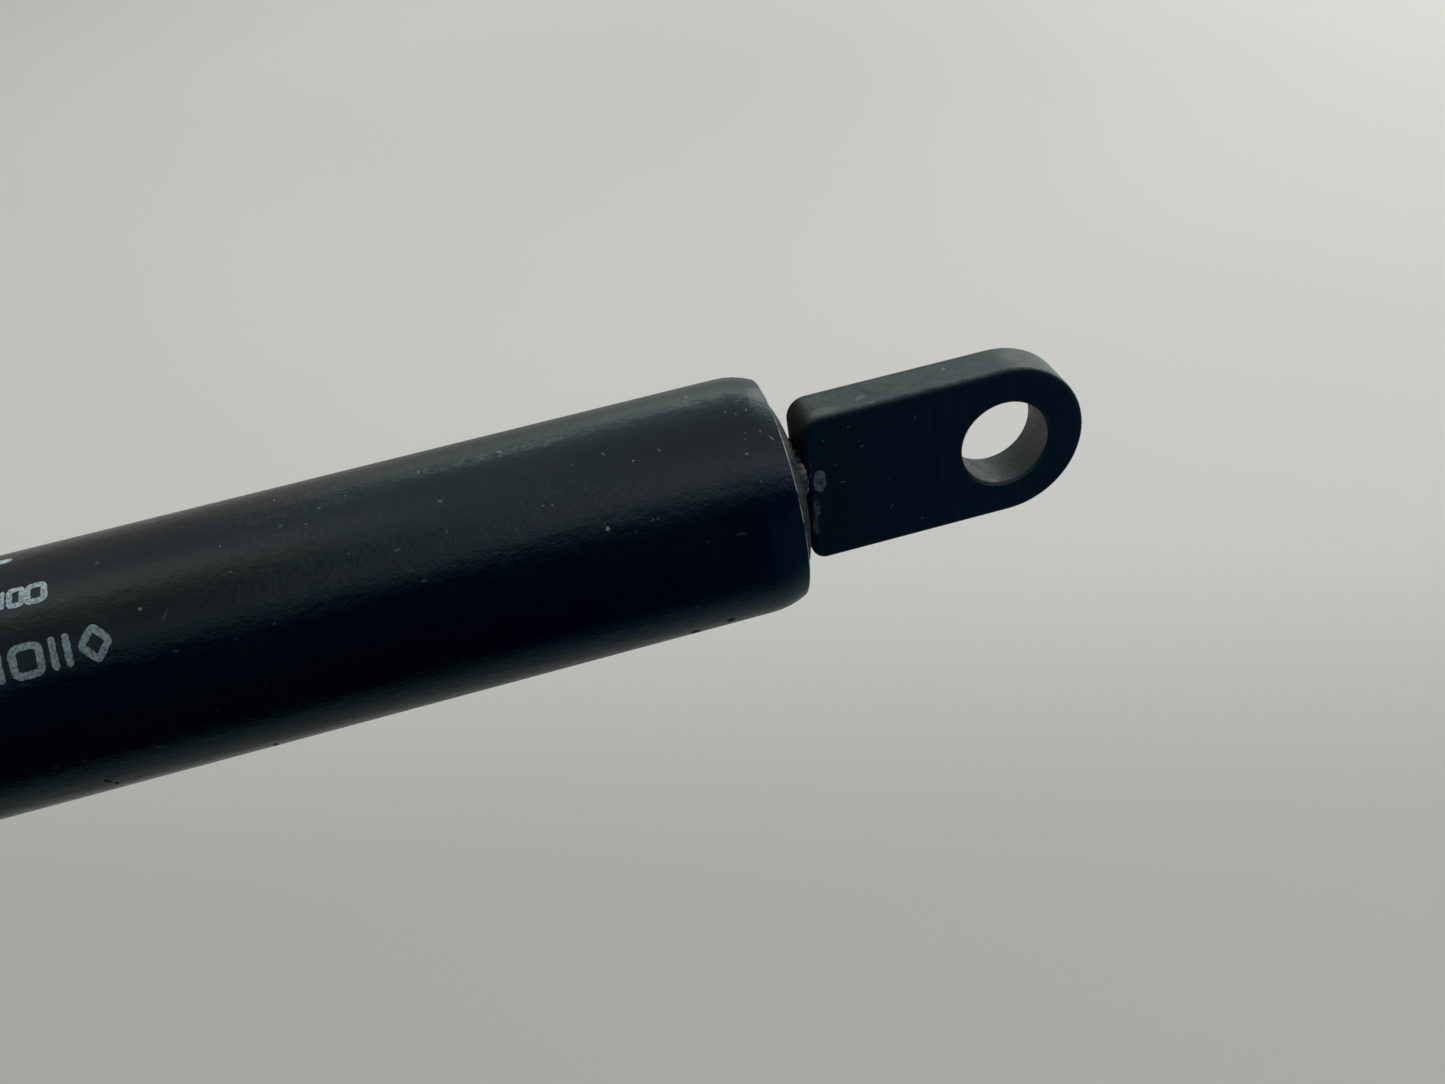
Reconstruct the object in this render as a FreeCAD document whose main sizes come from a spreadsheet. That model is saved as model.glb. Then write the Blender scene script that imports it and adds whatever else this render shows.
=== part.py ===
import FreeCAD, Part
import Sketcher
import math
import os

# Gas strut stay with a flat eye at each end, millimetres.
# Frame: the origin is the centre of the tube eye's bore, +Y runs along that bore, +Z is up,
# and the strut runs from the tube eye towards -X, so +X is the way the rod goes in.
# A "station" is a distance from the origin towards -X. A piece is drawn in its own frame, with
# its x = 0 at its end furthest from the tube eye, and its Placement puts it at its station.

os.makedirs("parts", exist_ok=True)
doc = FreeCAD.newDocument("gas_strut_stay")

# ---------------------------------------------------------------- driving dimensions
CELLS = [
    # pressure tube
    ("tube_radius", 11.0, "outside radius of the pressure tube"),
    ("tube_wall", 1.2, "wall of the pressure tube"),
    ("tube_length", 205.0, "rim to rim length of the pressure tube"),
    ("rim_station", 21.5, "rim of the closed end"),
    ("roll_run", 3.35, "length of the rolled-in closed end"),
    ("roll_radius", 7.3, "outside radius of that roll, in section"),
    ("lip_radius", 3.0, "outside radius of the rolled-in rod end, in section"),
    ("lip_opening", 8.0, "radius of the opening at the rod end"),
    ("bead_depth", 0.8, "depth of a rolled bead"),
    ("bead_radius", 2.0, "radius of a rolled bead's groove, in section"),
    ("bead_one_station", 201.0, "bead that backs the seal package"),
    ("bead_two_station", 217.5, "bead that holds the guide"),
    ("bead_blend", 0.5, "rounding of a bead's shoulders"),
    ("rim_blend", 0.18, "rounding of the closed end's rim"),
    ("assembly_gap", 0.02, "radial room of the pieces fixed in the tube"),
    # end plug
    ("plug_station", 29.5, "inner face of the end plug"),
    ("plug_chamfer", 0.48, "chamfer of the plug's inner edge"),
    ("dome_station", 21.43, "edge of the plug's domed outer face"),
    ("dome_edge_radius", 9.0, "radius of that edge"),
    ("dome_radius", 9.0, "radius of the dome, in section"),
    ("dome_flat_radius", 4.1, "radius of the flat on the dome"),
    ("ring_groove_floor", 8.2, "floor radius of the O-ring grooves"),
    ("ring_groove_width", 2.2, "width of the O-ring grooves"),
    ("plug_ring_station", 27.5, "middle of the plug's O-ring groove"),
    ("ring_section", 0.78, "section radius of the fitted O-rings"),
    ("ring_mean", 9.0, "mean radius of the fitted O-rings"),
    # eyes
    ("eye_width", 15.2, "width of the flat eye"),
    ("eye_thickness", 4.9, "thickness of the flat eye"),
    ("eye_bore", 4.25, "radius of the eye's bore"),
    ("eye_shank", 19.35, "bore centre to the eye's welded face"),
    ("eye_nose", 0.15, "bore centre to the centre of the round end"),
    ("eye_corner", 1.4, "lower corner radius at the welded face"),
    ("eye_corner_top", 1.95, "upper corner radius at the welded face"),
    ("eye_edge", 0.55, "rounding of the eye's long edges"),
    ("bore_edge", 0.25, "chamfer of the bore's edges"),
    # welds
    ("weld_width", 3.9, "width of a weld nugget across the eye's thickness"),
    ("weld_height", 7.4, "height of a weld nugget along the eye's width"),
    ("rod_weld_gap", 1.05, "length of the weld at the rod"),
    ("rod_weld_radius", 4.75, "radius of the weld at the rod"),
    # guide and seals
    ("guide_nose", 0.4, "guide's nose beyond the tube's rim"),
    ("guide_nose_radius", 7.9, "radius of that nose"),
    ("guide_inner_station", 211.2, "inner face of the guide"),
    ("guide_recess_station", 223.4, "floor of the wiper's recess"),
    ("guide_recess_radius", 7.0, "radius of the wiper's recess"),
    ("guide_ring_station", 213.4, "middle of the guide's O-ring groove"),
    ("running_gap", 0.04, "radial clearance of the running fits"),
    ("support_station", 203.2, "inner face of the seal's support ring"),
    ("support_thickness", 2.0, "thickness of the support ring"),
    ("support_gap", 0.15, "radial room of the rod in the support ring"),
    # rod and piston package
    ("rod_radius", 5.0, "radius of the piston rod"),
    ("rod_end_station", 379.6, "outer end of the rod"),
    ("rod_shoulder_station", 202.9, "shoulder that carries the piston package"),
    ("spigot_radius", 3.0, "radius of the rod's inner spigot"),
    ("spigot_end_station", 183.3, "inner end of the spigot"),
    ("rod_chamfer", 0.5, "chamfer of the rod's ends"),
    ("stop_washer_thickness", 1.5, "thickness of the washer at the shoulder"),
    ("stop_washer_radius", 8.6, "radius of the washer at the shoulder"),
    ("spring_height", 0.9, "height of the cone spring washer"),
    ("spring_radius", 7.4, "radius of the cone spring washer"),
    ("spring_thickness", 0.45, "thickness of the cone spring washer"),
    ("throttle_thickness", 0.4, "thickness of the throttle disc"),
    ("throttle_radius", 8.4, "radius of the throttle disc"),
    ("piston_outer", 9.7, "radius of the piston"),
    ("piston_length", 9.5, "length of the piston"),
    ("piston_face_radius", 8.5, "radius of the piston's shouldered face"),
    ("piston_ring_floor", 8.0, "floor radius of the piston ring's groove"),
    ("piston_ring_width", 2.9, "width of the piston ring"),
    ("piston_ring_side", 0.05, "side clearance of the piston ring"),
    ("piston_ring_station", 194.7, "middle of the piston ring"),
    ("orifice_circle", 7.25, "radius of the circle of the gas passages"),
    ("orifice_radius", 0.5, "radius of a gas passage"),
    ("orifice_count", 3, "number of gas passages"),
    ("backing_thickness", 1.5, "thickness of the washer under the nut"),
    ("backing_radius", 6.6, "radius of the washer under the nut"),
    ("nut_flats", 10.0, "width across the nut's flats"),
    ("nut_height", 5.0, "height of the nut"),
    # installed length
    ("extended_length", 400.0, "eye centre to eye centre, extended"),
]

sheet = doc.addObject("Spreadsheet::Sheet", "Dimensions")
for i, (alias, value, words) in enumerate(CELLS, start=1):
    sheet.set("A%d" % i, alias)
    sheet.set("B%d" % i, repr(value))
    sheet.set("C%d" % i, words)
    sheet.setAlias("B%d" % i, alias)
doc.recompute()


class Size:
    """A size with the expression that gives it from the sheet."""

    def __init__(self, value, text):
        self.value, self.text = float(value), text

    @staticmethod
    def of(x):
        return x if isinstance(x, Size) else Size(x, repr(float(x)))

    def __add__(self, o):
        o = Size.of(o)
        return Size(self.value + o.value, "(%s + %s)" % (self.text, o.text))

    def __sub__(self, o):
        o = Size.of(o)
        return Size(self.value - o.value, "(%s - %s)" % (self.text, o.text))

    def __mul__(self, o):
        o = Size.of(o)
        return Size(self.value * o.value, "(%s * %s)" % (self.text, o.text))

    def __truediv__(self, o):
        o = Size.of(o)
        return Size(self.value / o.value, "(%s / %s)" % (self.text, o.text))

    def __neg__(self):
        return Size(-self.value, "(-1 * %s)" % self.text)


def root(x):
    return Size(math.sqrt(x.value), "sqrt(%s)" % x.text)


def cell(alias):
    return Size(float(sheet.get(alias)), "Dimensions.%s" % alias)


# ---------------------------------------------------------------- drawing helpers
def sketch_on(body, role, name):
    sketch = body.newObject("Sketcher::SketchObject", name)
    plane = [f for f in body.Origin.OriginFeatures if f.Role == role][0]
    sketch.AttachmentSupport = [(plane, "")]
    sketch.MapMode = "FlatFace"
    return sketch


def dimension(sketch, kind, args, size, name):
    index = sketch.addConstraint(Sketcher.Constraint(kind, *args, size.value))
    sketch.renameConstraint(index, name)
    sketch.setExpression("Constraints.%s" % name, size.text)


def outline(sketch, points, tag="p"):
    """Draws a closed outline. Each point is (x, y, step): step None is a straight run to the next
    point, and (radius, side) an arc to it whose centre lies on that side of the run. A third entry
    says that the arc is a half circle standing on a vertical run: its centre is fixed instead."""
    first = sketch.GeometryCount
    ends = []
    for i, (x, y, step) in enumerate(points):
        nx, ny, _ = points[(i + 1) % len(points)]
        a = FreeCAD.Vector(x.value, y.value, 0)
        b = FreeCAD.Vector(nx.value, ny.value, 0)
        if step is None:
            geo = sketch.addGeometry(Part.LineSegment(a, b), False)
            ends.append((geo, 1, 2))
            continue
        radius, side = step[:2]
        mid, run = (a + b) * 0.5, b - a
        height = math.sqrt(max(radius.value**2 - (run.Length / 2) ** 2, 0.0))
        left = FreeCAD.Vector(-run.y, run.x, 0).normalize()
        centre = mid + left * (height if side == "left" else -height)
        angle = lambda q: math.atan2(q.y - centre.y, q.x - centre.x)
        start, stop = (a, b) if side == "left" else (b, a)
        lo, hi = angle(start), angle(stop)
        while hi <= lo:
            hi += 2 * math.pi
        circle = Part.Circle(centre, FreeCAD.Vector(0, 0, 1), radius.value)
        geo = sketch.addGeometry(Part.ArcOfCircle(circle, lo, hi), False)
        ends.append((geo, 1, 2) if side == "left" else (geo, 2, 1))
        if len(step) == 3:
            dimension(sketch, "DistanceX", (-1, 1, geo, 3), x, "%s_centre_%d" % (tag, i))
        else:
            dimension(sketch, "Radius", (geo,), radius, "%s_arc_%d" % (tag, i))
    for i in range(len(points)):
        g0, _, e0 = ends[i - 1]
        g1, s1, _ = ends[i]
        sketch.addConstraint(Sketcher.Constraint("Coincident", g0, e0, g1, s1))
    for i, (x, y, _) in enumerate(points):
        g, s, _ = ends[i]
        if abs(x.value) < 1e-9:
            sketch.addConstraint(Sketcher.Constraint("PointOnObject", g, s, -2))
        else:
            dimension(sketch, "DistanceX", (-1, 1, g, s), x, "%s_x_%d" % (tag, i))
        if abs(y.value) < 1e-9:
            sketch.addConstraint(Sketcher.Constraint("PointOnObject", g, s, -1))
        else:
            dimension(sketch, "DistanceY", (-1, 1, g, s), y, "%s_y_%d" % (tag, i))
    return first


def new_body(label):
    body = doc.addObject("PartDesign::Body", label)
    body.Label = label
    return body


def along(obj, size):
    obj.setExpression("Placement.Base.x", size.text)


def turned(label, left, profile):
    """A piece turned about the strut's axis. profile is a list of (station, radius, step)."""
    body = new_body(label)
    sketch = sketch_on(body, "XY_Plane", label + "_profile")
    zero = Size(0, "0")
    points = []
    for station, radius, step in profile:
        x = left - station
        points.append((x if abs(x.value) > 1e-9 else zero, Size.of(radius), step))
    outline(sketch, points)
    turn = body.newObject("PartDesign::Revolution", label + "_turned")
    turn.Profile = (sketch, [""])
    turn.ReferenceAxis = (sketch, ["H_Axis"])
    turn.Angle = 360.0
    along(body, -left)
    doc.recompute()
    sketch.Visibility = False
    return body


def edges_where(shape, test):
    return ["Edge%d" % i for i, e in enumerate(shape.Edges, start=1) if test(e)]


def is_ring(edge, x, radius, tol=0.02):
    c = edge.Curve
    return (
        isinstance(c, Part.Circle)
        and abs(c.Center.x - x) < tol
        and abs(c.Radius - radius) < tol
    )


def rounded(body, kind, name, names, size):
    assert names, "%s found no edge" % name
    feature = body.newObject("PartDesign::%s" % kind, name)
    feature.Base = (body.Tip if body.Tip != feature else feature.BaseFeature, names)
    feature.setExpression("Radius" if kind == "Fillet" else "Size", size.text)
    body.Tip = feature
    doc.recompute()
    return feature


zero = Size(0, "0")
bore = cell("tube_radius") - cell("tube_wall")
front = cell("rim_station") + cell("tube_length")
snug = bore - cell("assembly_gap")
roll_start = cell("rim_station") + cell("roll_run")
roll_rise = root(cell("roll_radius") * cell("roll_radius") - cell("roll_run") * cell("roll_run"))
roll_axis_r = cell("tube_radius") - cell("roll_radius")


def roll_point(radius):
    """Station and radius of the roll's end at a given section radius."""
    share = radius / cell("roll_radius")
    return roll_start - cell("roll_run") * share, roll_axis_r + roll_rise * share


# ---------------------------------------------------------------- pressure tube
def bead_half(radius, drop):
    """Half the width of a bead's arc of that radius where it lies drop below the arc's centre."""
    return root(radius * radius - drop * drop)


bead_out = cell("bead_radius")
bead_in = cell("bead_radius") + cell("tube_wall")
bead_centre_r = cell("tube_radius") - cell("bead_depth") + cell("bead_radius")
half_out = bead_half(bead_out, bead_centre_r - cell("tube_radius"))
half_in = bead_half(bead_in, bead_centre_r - bore)
one, two = cell("bead_one_station"), cell("bead_two_station")
R = cell("tube_radius")
outer_end, inner_end = roll_point(cell("roll_radius")), roll_point(cell("roll_radius") - cell("tube_wall"))
lip, lip_in = cell("lip_radius"), cell("lip_radius") - cell("tube_wall")
pressure_tube = turned(
    "pressure_tube",
    front,
    [
        (front, cell("lip_opening"), (lip, "right")),
        (front - lip, R, None),
        (two + half_out, R, (bead_out, "left")),
        (two - half_out, R, None),
        (one + half_out, R, (bead_out, "left")),
        (one - half_out, R, None),
        (roll_start, R, (cell("roll_radius"), "right")),
        (outer_end[0], outer_end[1], None),
        (inner_end[0], inner_end[1], (cell("roll_radius") - cell("tube_wall"), "left")),
        (roll_start, bore, None),
        (one - half_in, bore, (bead_in, "right")),
        (one + half_in, bore, None),
        (two - half_in, bore, (bead_in, "right")),
        (two + half_in, bore, None),
        (front - lip, bore, (lip_in, "left")),
        (front - cell("tube_wall"), cell("lip_opening"), None),
    ],
)
shoulders = []
for st in (one, two):
    for side in (half_out, -half_out):
        x = (front - st + side).value
        shoulders += edges_where(pressure_tube.Tip.Shape, lambda e, x=x: is_ring(e, x, R.value))
rounded(pressure_tube, "Fillet", "bead_shoulders", shoulders, cell("bead_blend"))
x = (front - outer_end[0]).value
rim = edges_where(pressure_tube.Tip.Shape, lambda e: is_ring(e, x, outer_end[1].value))
rounded(pressure_tube, "Fillet", "rim_rounding", rim, cell("rim_blend"))

# ---------------------------------------------------------------- end plug and its O-ring
plug = cell("plug_station")
half_groove = cell("ring_groove_width") / 2
ps = cell("plug_ring_station")
roll_in = cell("roll_radius") - cell("tube_wall") - cell("assembly_gap")
plug_roll = roll_point(roll_in)
dome_drop = cell("dome_edge_radius") - cell("dome_flat_radius")
dome_flat = (
    cell("dome_station")
    + root(cell("dome_radius") * cell("dome_radius") - dome_drop * dome_drop)
    - cell("dome_radius")
)
end_plug = turned(
    "end_plug",
    plug,
    [
        (plug, zero, None),
        (plug, snug - cell("plug_chamfer"), None),
        (plug - cell("plug_chamfer"), snug, None),
        (ps + half_groove, snug, None),
        (ps + half_groove, cell("ring_groove_floor"), None),
        (ps - half_groove, cell("ring_groove_floor"), None),
        (ps - half_groove, snug, None),
        (roll_start, snug, (roll_in, "right")),
        (plug_roll[0], plug_roll[1], None),
        (cell("dome_station"), cell("dome_edge_radius"), (cell("dome_radius"), "right")),
        (dome_flat, cell("dome_flat_radius"), None),
        (dome_flat, zero, None),
    ],
)


def o_ring(label, station):
    ring = doc.addObject("Part::Torus", label)
    ring.Label = label
    ring.setExpression("Radius1", cell("ring_mean").text)
    ring.setExpression("Radius2", cell("ring_section").text)
    ring.Placement = FreeCAD.Placement(
        FreeCAD.Vector(-station.value, 0, 0), FreeCAD.Rotation(FreeCAD.Vector(0, 1, 0), 90)
    )
    along(ring, -station)
    return ring


end_plug_o_ring = o_ring("end_plug_o_ring", ps)


# ---------------------------------------------------------------- flat eyes
def flat_eye(label, turned_round):
    body = new_body(label)
    sketch = sketch_on(body, "XZ_Plane", label + "_outline")
    w, c, e, n = cell("eye_width") / 2, cell("eye_corner"), cell("eye_shank"), cell("eye_nose")
    t = cell("eye_corner_top")
    outline(
        sketch,
        [
            (-(e - c), -w, None),
            (n, -w, (w, "left", "half")),
            (n, w, None),
            (-(e - t), w, (t, "left")),
            (-e, w - t, None),
            (-e, -(w - c), (c, "left")),
        ],
    )
    circle = sketch.addGeometry(
        Part.Circle(FreeCAD.Vector(0, 0, 0), FreeCAD.Vector(0, 0, 1), cell("eye_bore").value), False
    )
    sketch.addConstraint(Sketcher.Constraint("Coincident", circle, 3, -1, 1))
    dimension(sketch, "Radius", (circle,), cell("eye_bore"), "bore_radius")
    pad = body.newObject("PartDesign::Pad", label + "_plate")
    pad.Profile = (sketch, [""])
    pad.SideType = "Symmetric"
    pad.setExpression("Length", cell("eye_thickness").text)
    doc.recompute()
    half = cell("eye_thickness").value / 2
    r = cell("eye_bore").value

    def flat(e):
        a, b = e.FirstParameter, e.LastParameter
        ys = [e.valueAt(p).y for p in (a, (a + b) / 2, b)]
        return max(ys) - min(ys) < 1e-3 and abs(abs(ys[0]) - half) < 1e-3

    def around_bore(e):
        return isinstance(e.Curve, Part.Circle) and abs(e.Curve.Radius - r) < 1e-3

    rim = edges_where(body.Tip.Shape, lambda e: flat(e) and not around_bore(e))
    rounded(body, "Fillet", label + "_edges", rim, cell("eye_edge"))
    mouth = edges_where(body.Tip.Shape, lambda e: flat(e) and around_bore(e))
    rounded(body, "Chamfer", label + "_bore_edges", mouth, cell("bore_edge"))
    sketch.Visibility = False
    if turned_round:
        body.Placement = FreeCAD.Placement(
            FreeCAD.Vector(-cell("extended_length").value, 0, 0),
            FreeCAD.Rotation(FreeCAD.Vector(0, 0, 1), 180),
        )
        along(body, -cell("extended_length"))
    return body


tube_eye = flat_eye("tube_eye", False)
rod_eye = flat_eye("rod_eye", True)


# ---------------------------------------------------------------- welds
def ball(name, x, y, z, radius):
    b = doc.addObject("Part::Sphere", name)
    b.Radius = radius
    b.Placement = FreeCAD.Placement(FreeCAD.Vector(x, y, z), FreeCAD.Rotation())
    return b


# The eye is resistance-welded to the plug's flat: a flat nugget with a collar of small squeezed-out
# beads. The collar's beads bite a little into the eye's face and the plug's dome, as weld metal does.
nugget = doc.addObject("Part::Box", "weld_nugget")
nugget.setExpression("Length", (dome_flat - cell("eye_shank") + 0.02).text)
nugget.setExpression("Width", cell("weld_width").text)
nugget.setExpression("Height", cell("weld_height").text)
nugget.Placement = FreeCAD.Placement(FreeCAD.Vector(-20, 0, 0), FreeCAD.Rotation())
nugget.setExpression("Placement.Base.x", (-dome_flat - 0.01).text)
nugget.setExpression("Placement.Base.y", (-cell("weld_width") / 2).text)
nugget.setExpression("Placement.Base.z", (-cell("weld_height") / 2).text)
collar = []
BEADS = [
    (-2.02, -3.55, 0.35), (-1.98, -2.9, 0.37), (-2.10, -2.1, 0.36), (-2.00, -1.3, 0.38),
    (-2.12, -0.6, 0.36), (-2.06, 0.1, 0.39), (-2.20, 0.9, 0.42), (-2.30, 1.6, 0.44),
    (-2.32, 2.3, 0.45), (-2.22, 3.0, 0.41), (-2.02, 3.6, 0.35), (2.00, -3.4, 0.35),
    (2.06, -2.4, 0.38), (1.98, -1.5, 0.36), (2.10, -0.4, 0.39), (2.02, 0.7, 0.36),
    (2.08, 1.8, 0.38), (2.00, 2.9, 0.36), (-1.1, -3.75, 0.36), (0.1, -3.82, 0.38),
    (1.2, -3.74, 0.36), (-1.0, 3.76, 0.36), (0.3, 3.80, 0.37), (1.3, 3.74, 0.35),
]
# One side carries a larger lump of squeezed-out metal, lying against the plug's flat.
LUMP = [
    (-2.86, 3.42, 0.38), (-2.98, 2.90, 0.52), (-3.04, 2.32, 0.56), (-2.96, 1.78, 0.60),
    (-3.02, 1.22, 0.54), (-2.84, 0.76, 0.44),
]
middle = (dome_flat.value + cell("eye_shank").value) / 2
for i, (y, z, radius) in enumerate(BEADS):
    collar.append(ball("collar_%02d" % i, -middle, y, z, radius))
for i, (y, z, radius) in enumerate(LUMP):
    collar.append(ball("lump_%d" % i, 0.24 - dome_flat.value, y, z, radius))
tube_eye_weld = doc.addObject("Part::MultiFuse", "tube_eye_weld")
tube_eye_weld.Label = "tube_eye_weld"
tube_eye_weld.Shapes = [nugget] + collar
doc.recompute()

# At the rod the weld is a round upset collar between the rod's end and the eye's face.
rod_end = cell("rod_end_station")
rod_face = cell("extended_length") - cell("eye_shank")
rw = cell("rod_weld_radius")
rod_eye_weld = turned(
    "rod_eye_weld",
    rod_face,
    [
        (rod_face, zero, None),
        (rod_face, rw - 0.35, None),
        (rod_face - 0.12, rw - 0.05, None),
        (rod_face - 0.34, rw + 0.22, None),
        (rod_end + 0.34, rw + 0.24, None),
        (rod_end + 0.12, rw - 0.02, None),
        (rod_end, rw - 0.3, None),
        (rod_end, zero, None),
    ],
)

# ---------------------------------------------------------------- guide, seals
nose = front + cell("guide_nose")
gi, gr = cell("guide_inner_station"), cell("guide_recess_station")
gs = cell("guide_ring_station")
rod_bore = cell("rod_radius") + cell("running_gap")
guide_bead = bead_in + 0.04
guide_half = bead_half(guide_bead, bead_centre_r - (bore - 0.04))
guide_r = bore - 0.04
guide_lip = lip_in - 0.04
rod_guide = turned(
    "rod_guide",
    nose,
    [
        (nose, cell("guide_recess_radius"), None),
        (nose, cell("guide_nose_radius") - 0.3, None),
        (nose - 0.3, cell("guide_nose_radius"), None),
        (front - cell("tube_wall") - 0.04, cell("guide_nose_radius"), None),
        (front - cell("tube_wall") - 0.04, cell("lip_opening"), (guide_lip, "right")),
        (front - lip, guide_r, None),
        (two + guide_half, guide_r, (guide_bead, "left")),
        (two - guide_half, guide_r, None),
        (gs + half_groove, guide_r, None),
        (gs + half_groove, cell("ring_groove_floor"), None),
        (gs - half_groove, cell("ring_groove_floor"), None),
        (gs - half_groove, guide_r, None),
        (gi + 0.3, guide_r, None),
        (gi, guide_r - 0.3, None),
        (gi, rod_bore + 0.3, None),
        (gi + 0.3, rod_bore, None),
        (gr, rod_bore, None),
        (gr, cell("guide_recess_radius"), None),
    ],
)
guide_o_ring = o_ring("guide_o_ring", gs)

wr = cell("guide_recess_radius") - 0.04
wiper_left = nose + 0.7
rod_wiper = turned(
    "rod_wiper",
    wiper_left,
    [
        (wiper_left, rod_bore, None),
        (wiper_left, rod_bore + 0.35, None),
        (nose + 0.1, rod_bore + 1.1, None),
        (nose - 0.2, wr - 0.2, None),
        (nose - 0.4, wr, None),
        (gr + 0.04, wr, None),
        (gr + 0.04, rod_bore + 0.6, None),
        (nose - 1.0, rod_bore + 0.6, None),
        (nose - 0.3, rod_bore, None),
    ],
)

seal_in = cell("support_station") + cell("support_thickness") + 0.02
seal_out = gi - 0.02
rod_seal = turned(
    "rod_seal",
    seal_out,
    [
        (seal_out, rod_bore + 0.5, None),
        (seal_out, snug - 0.3, None),
        (seal_out - 0.3, snug, None),
        (seal_in, snug, None),
        (seal_in, snug - 1.1, None),
        (seal_in + 2.2, 7.5, None),
        (seal_in, 6.4, None),
        (seal_in, rod_bore + 0.5, None),
        (seal_in + 0.5, rod_bore, None),
        (seal_in + 1.3, rod_bore, None),
        (seal_in + 2.2, rod_bore + 0.45, None),
        (seal_out - 2.0, rod_bore + 0.45, None),
        (seal_out - 1.3, rod_bore, None),
        (seal_out - 0.5, rod_bore, None),
    ],
)

si = cell("support_station")
so = si + cell("support_thickness")
sb = cell("rod_radius") + cell("support_gap")
seal_support_ring = turned(
    "seal_support_ring",
    so,
    [
        (so, sb, None),
        (so, snug, None),
        (si + 0.3, snug, None),
        (si, snug - 0.3, None),
        (si, sb + 0.2, None),
        (si + 0.2, sb, None),
    ],
)

# ---------------------------------------------------------------- piston rod and piston package
rr, sp = cell("rod_radius"), cell("spigot_radius")
sh, se, ch = cell("rod_shoulder_station"), cell("spigot_end_station"), cell("rod_chamfer")
piston_rod = turned(
    "piston_rod",
    rod_end,
    [
        (rod_end, zero, None),
        (rod_end, rr - ch, None),
        (rod_end - ch, rr, None),
        (sh, rr, None),
        (sh, sp, None),
        (se + ch, sp, None),
        (se, sp - ch, None),
        (se, zero, None),
    ],
)
fit = sp + cell("assembly_gap")
s1 = sh - cell("stop_washer_thickness")
s2 = s1 - cell("spring_height")
s3 = s2 - cell("throttle_thickness")
s4 = s3 - cell("piston_length")
s5 = s4 - cell("backing_thickness")
s6 = s5 - cell("nut_height")


def washer(label, outer_station, inner_station, radius, bevel):
    return turned(
        label,
        outer_station,
        [
            (outer_station, fit, None),
            (outer_station, radius - bevel, None),
            (outer_station - bevel, radius, None),
            (inner_station + bevel, radius, None),
            (inner_station, radius - bevel, None),
            (inner_station, fit, None),
        ],
    )


stop_washer = washer("stop_washer", sh, s1, cell("stop_washer_radius"), Size.of(0.2))
t = cell("spring_thickness")
piston_spring_washer = turned(
    "piston_spring_washer",
    s1 - 0.01,
    [
        (s1 - 0.01, fit + 0.08, None),
        (s2 + t + 0.01, cell("spring_radius"), None),
        (s2 + 0.01, cell("spring_radius"), None),
        (s1 - 0.01 - t, fit + 0.08, None),
    ],
)
throttle_disc = turned(
    "throttle_disc",
    s2,
    [
        (s2, fit, None),
        (s2, cell("throttle_radius"), None),
        (s3, cell("throttle_radius"), None),
        (s3, fit, None),
    ],
)
notch = sketch_on(throttle_disc, "YZ_Plane", "throttle_notch_outline")
nw, nr = cell("orifice_radius"), cell("orifice_circle") - cell("orifice_radius")
outline(
    notch,
    [
        (nw, nr, None),
        (nw, cell("throttle_radius") + 1, None),
        (-nw, cell("throttle_radius") + 1, None),
        (-nw, nr, None),
    ],
)
cut = throttle_disc.newObject("PartDesign::Pocket", "throttle_notch")
cut.Profile = (notch, [""])
cut.Type = "ThroughAll"
cut.SideType = "Symmetric"
throttle_disc.Tip = cut
doc.recompute()
notch.Visibility = False

pr = cell("piston_outer")
pf = cell("piston_face_radius")
pm = cell("piston_ring_station")
pg = cell("piston_ring_width") / 2 + cell("piston_ring_side")
piston = turned(
    "piston",
    s3,
    [
        (s3, fit, None),
        (s3, pf, None),
        (s3 - 0.7, pf, None),
        (s3 - 1.7, pr, None),
        (pm + pg, pr, None),
        (pm + pg, cell("piston_ring_floor"), None),
        (pm - pg, cell("piston_ring_floor"), None),
        (pm - pg, pr, None),
        (s4 + 0.6, pr, None),
        (s4, pr - 0.6, None),
        (s4, fit, None),
    ],
)
hole = sketch_on(piston, "YZ_Plane", "gas_passage_outline")
circle = hole.addGeometry(
    Part.Circle(
        FreeCAD.Vector(0, cell("orifice_circle").value, 0),
        FreeCAD.Vector(0, 0, 1),
        cell("orifice_radius").value,
    ),
    False,
)
hole.addConstraint(Sketcher.Constraint("PointOnObject", circle, 3, -2))
dimension(hole, "DistanceY", (-1, 1, circle, 3), cell("orifice_circle"), "passage_circle")
dimension(hole, "Radius", (circle,), cell("orifice_radius"), "passage_radius")
passage = piston.newObject("PartDesign::Pocket", "gas_passage")
passage.Profile = (hole, [""])
passage.Type = "ThroughAll"
passage.SideType = "Symmetric"
piston.Tip = passage
doc.recompute()
passages = piston.newObject("PartDesign::PolarPattern", "gas_passages")
passages.Originals = [passage]
passages.Axis = (hole, ["N_Axis"])
passages.Angle = 360.0
passages.setExpression("Occurrences", cell("orifice_count").text)
piston.Tip = passages
doc.recompute()
hole.Visibility = False

ring_half = cell("piston_ring_width") / 2
ring_out = bore - cell("running_gap")
ring_in = cell("piston_ring_floor") + 0.06
piston_ring = turned(
    "piston_ring",
    pm + ring_half,
    [
        (pm + ring_half, ring_in, None),
        (pm + ring_half, ring_out - 0.15, None),
        (pm + ring_half - 0.15, ring_out, None),
        (pm - ring_half + 0.15, ring_out, None),
        (pm - ring_half, ring_out - 0.15, None),
        (pm - ring_half, ring_in, None),
    ],
)

backing_washer = washer("backing_washer", s4, s5, cell("backing_radius"), Size.of(0.2))

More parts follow.
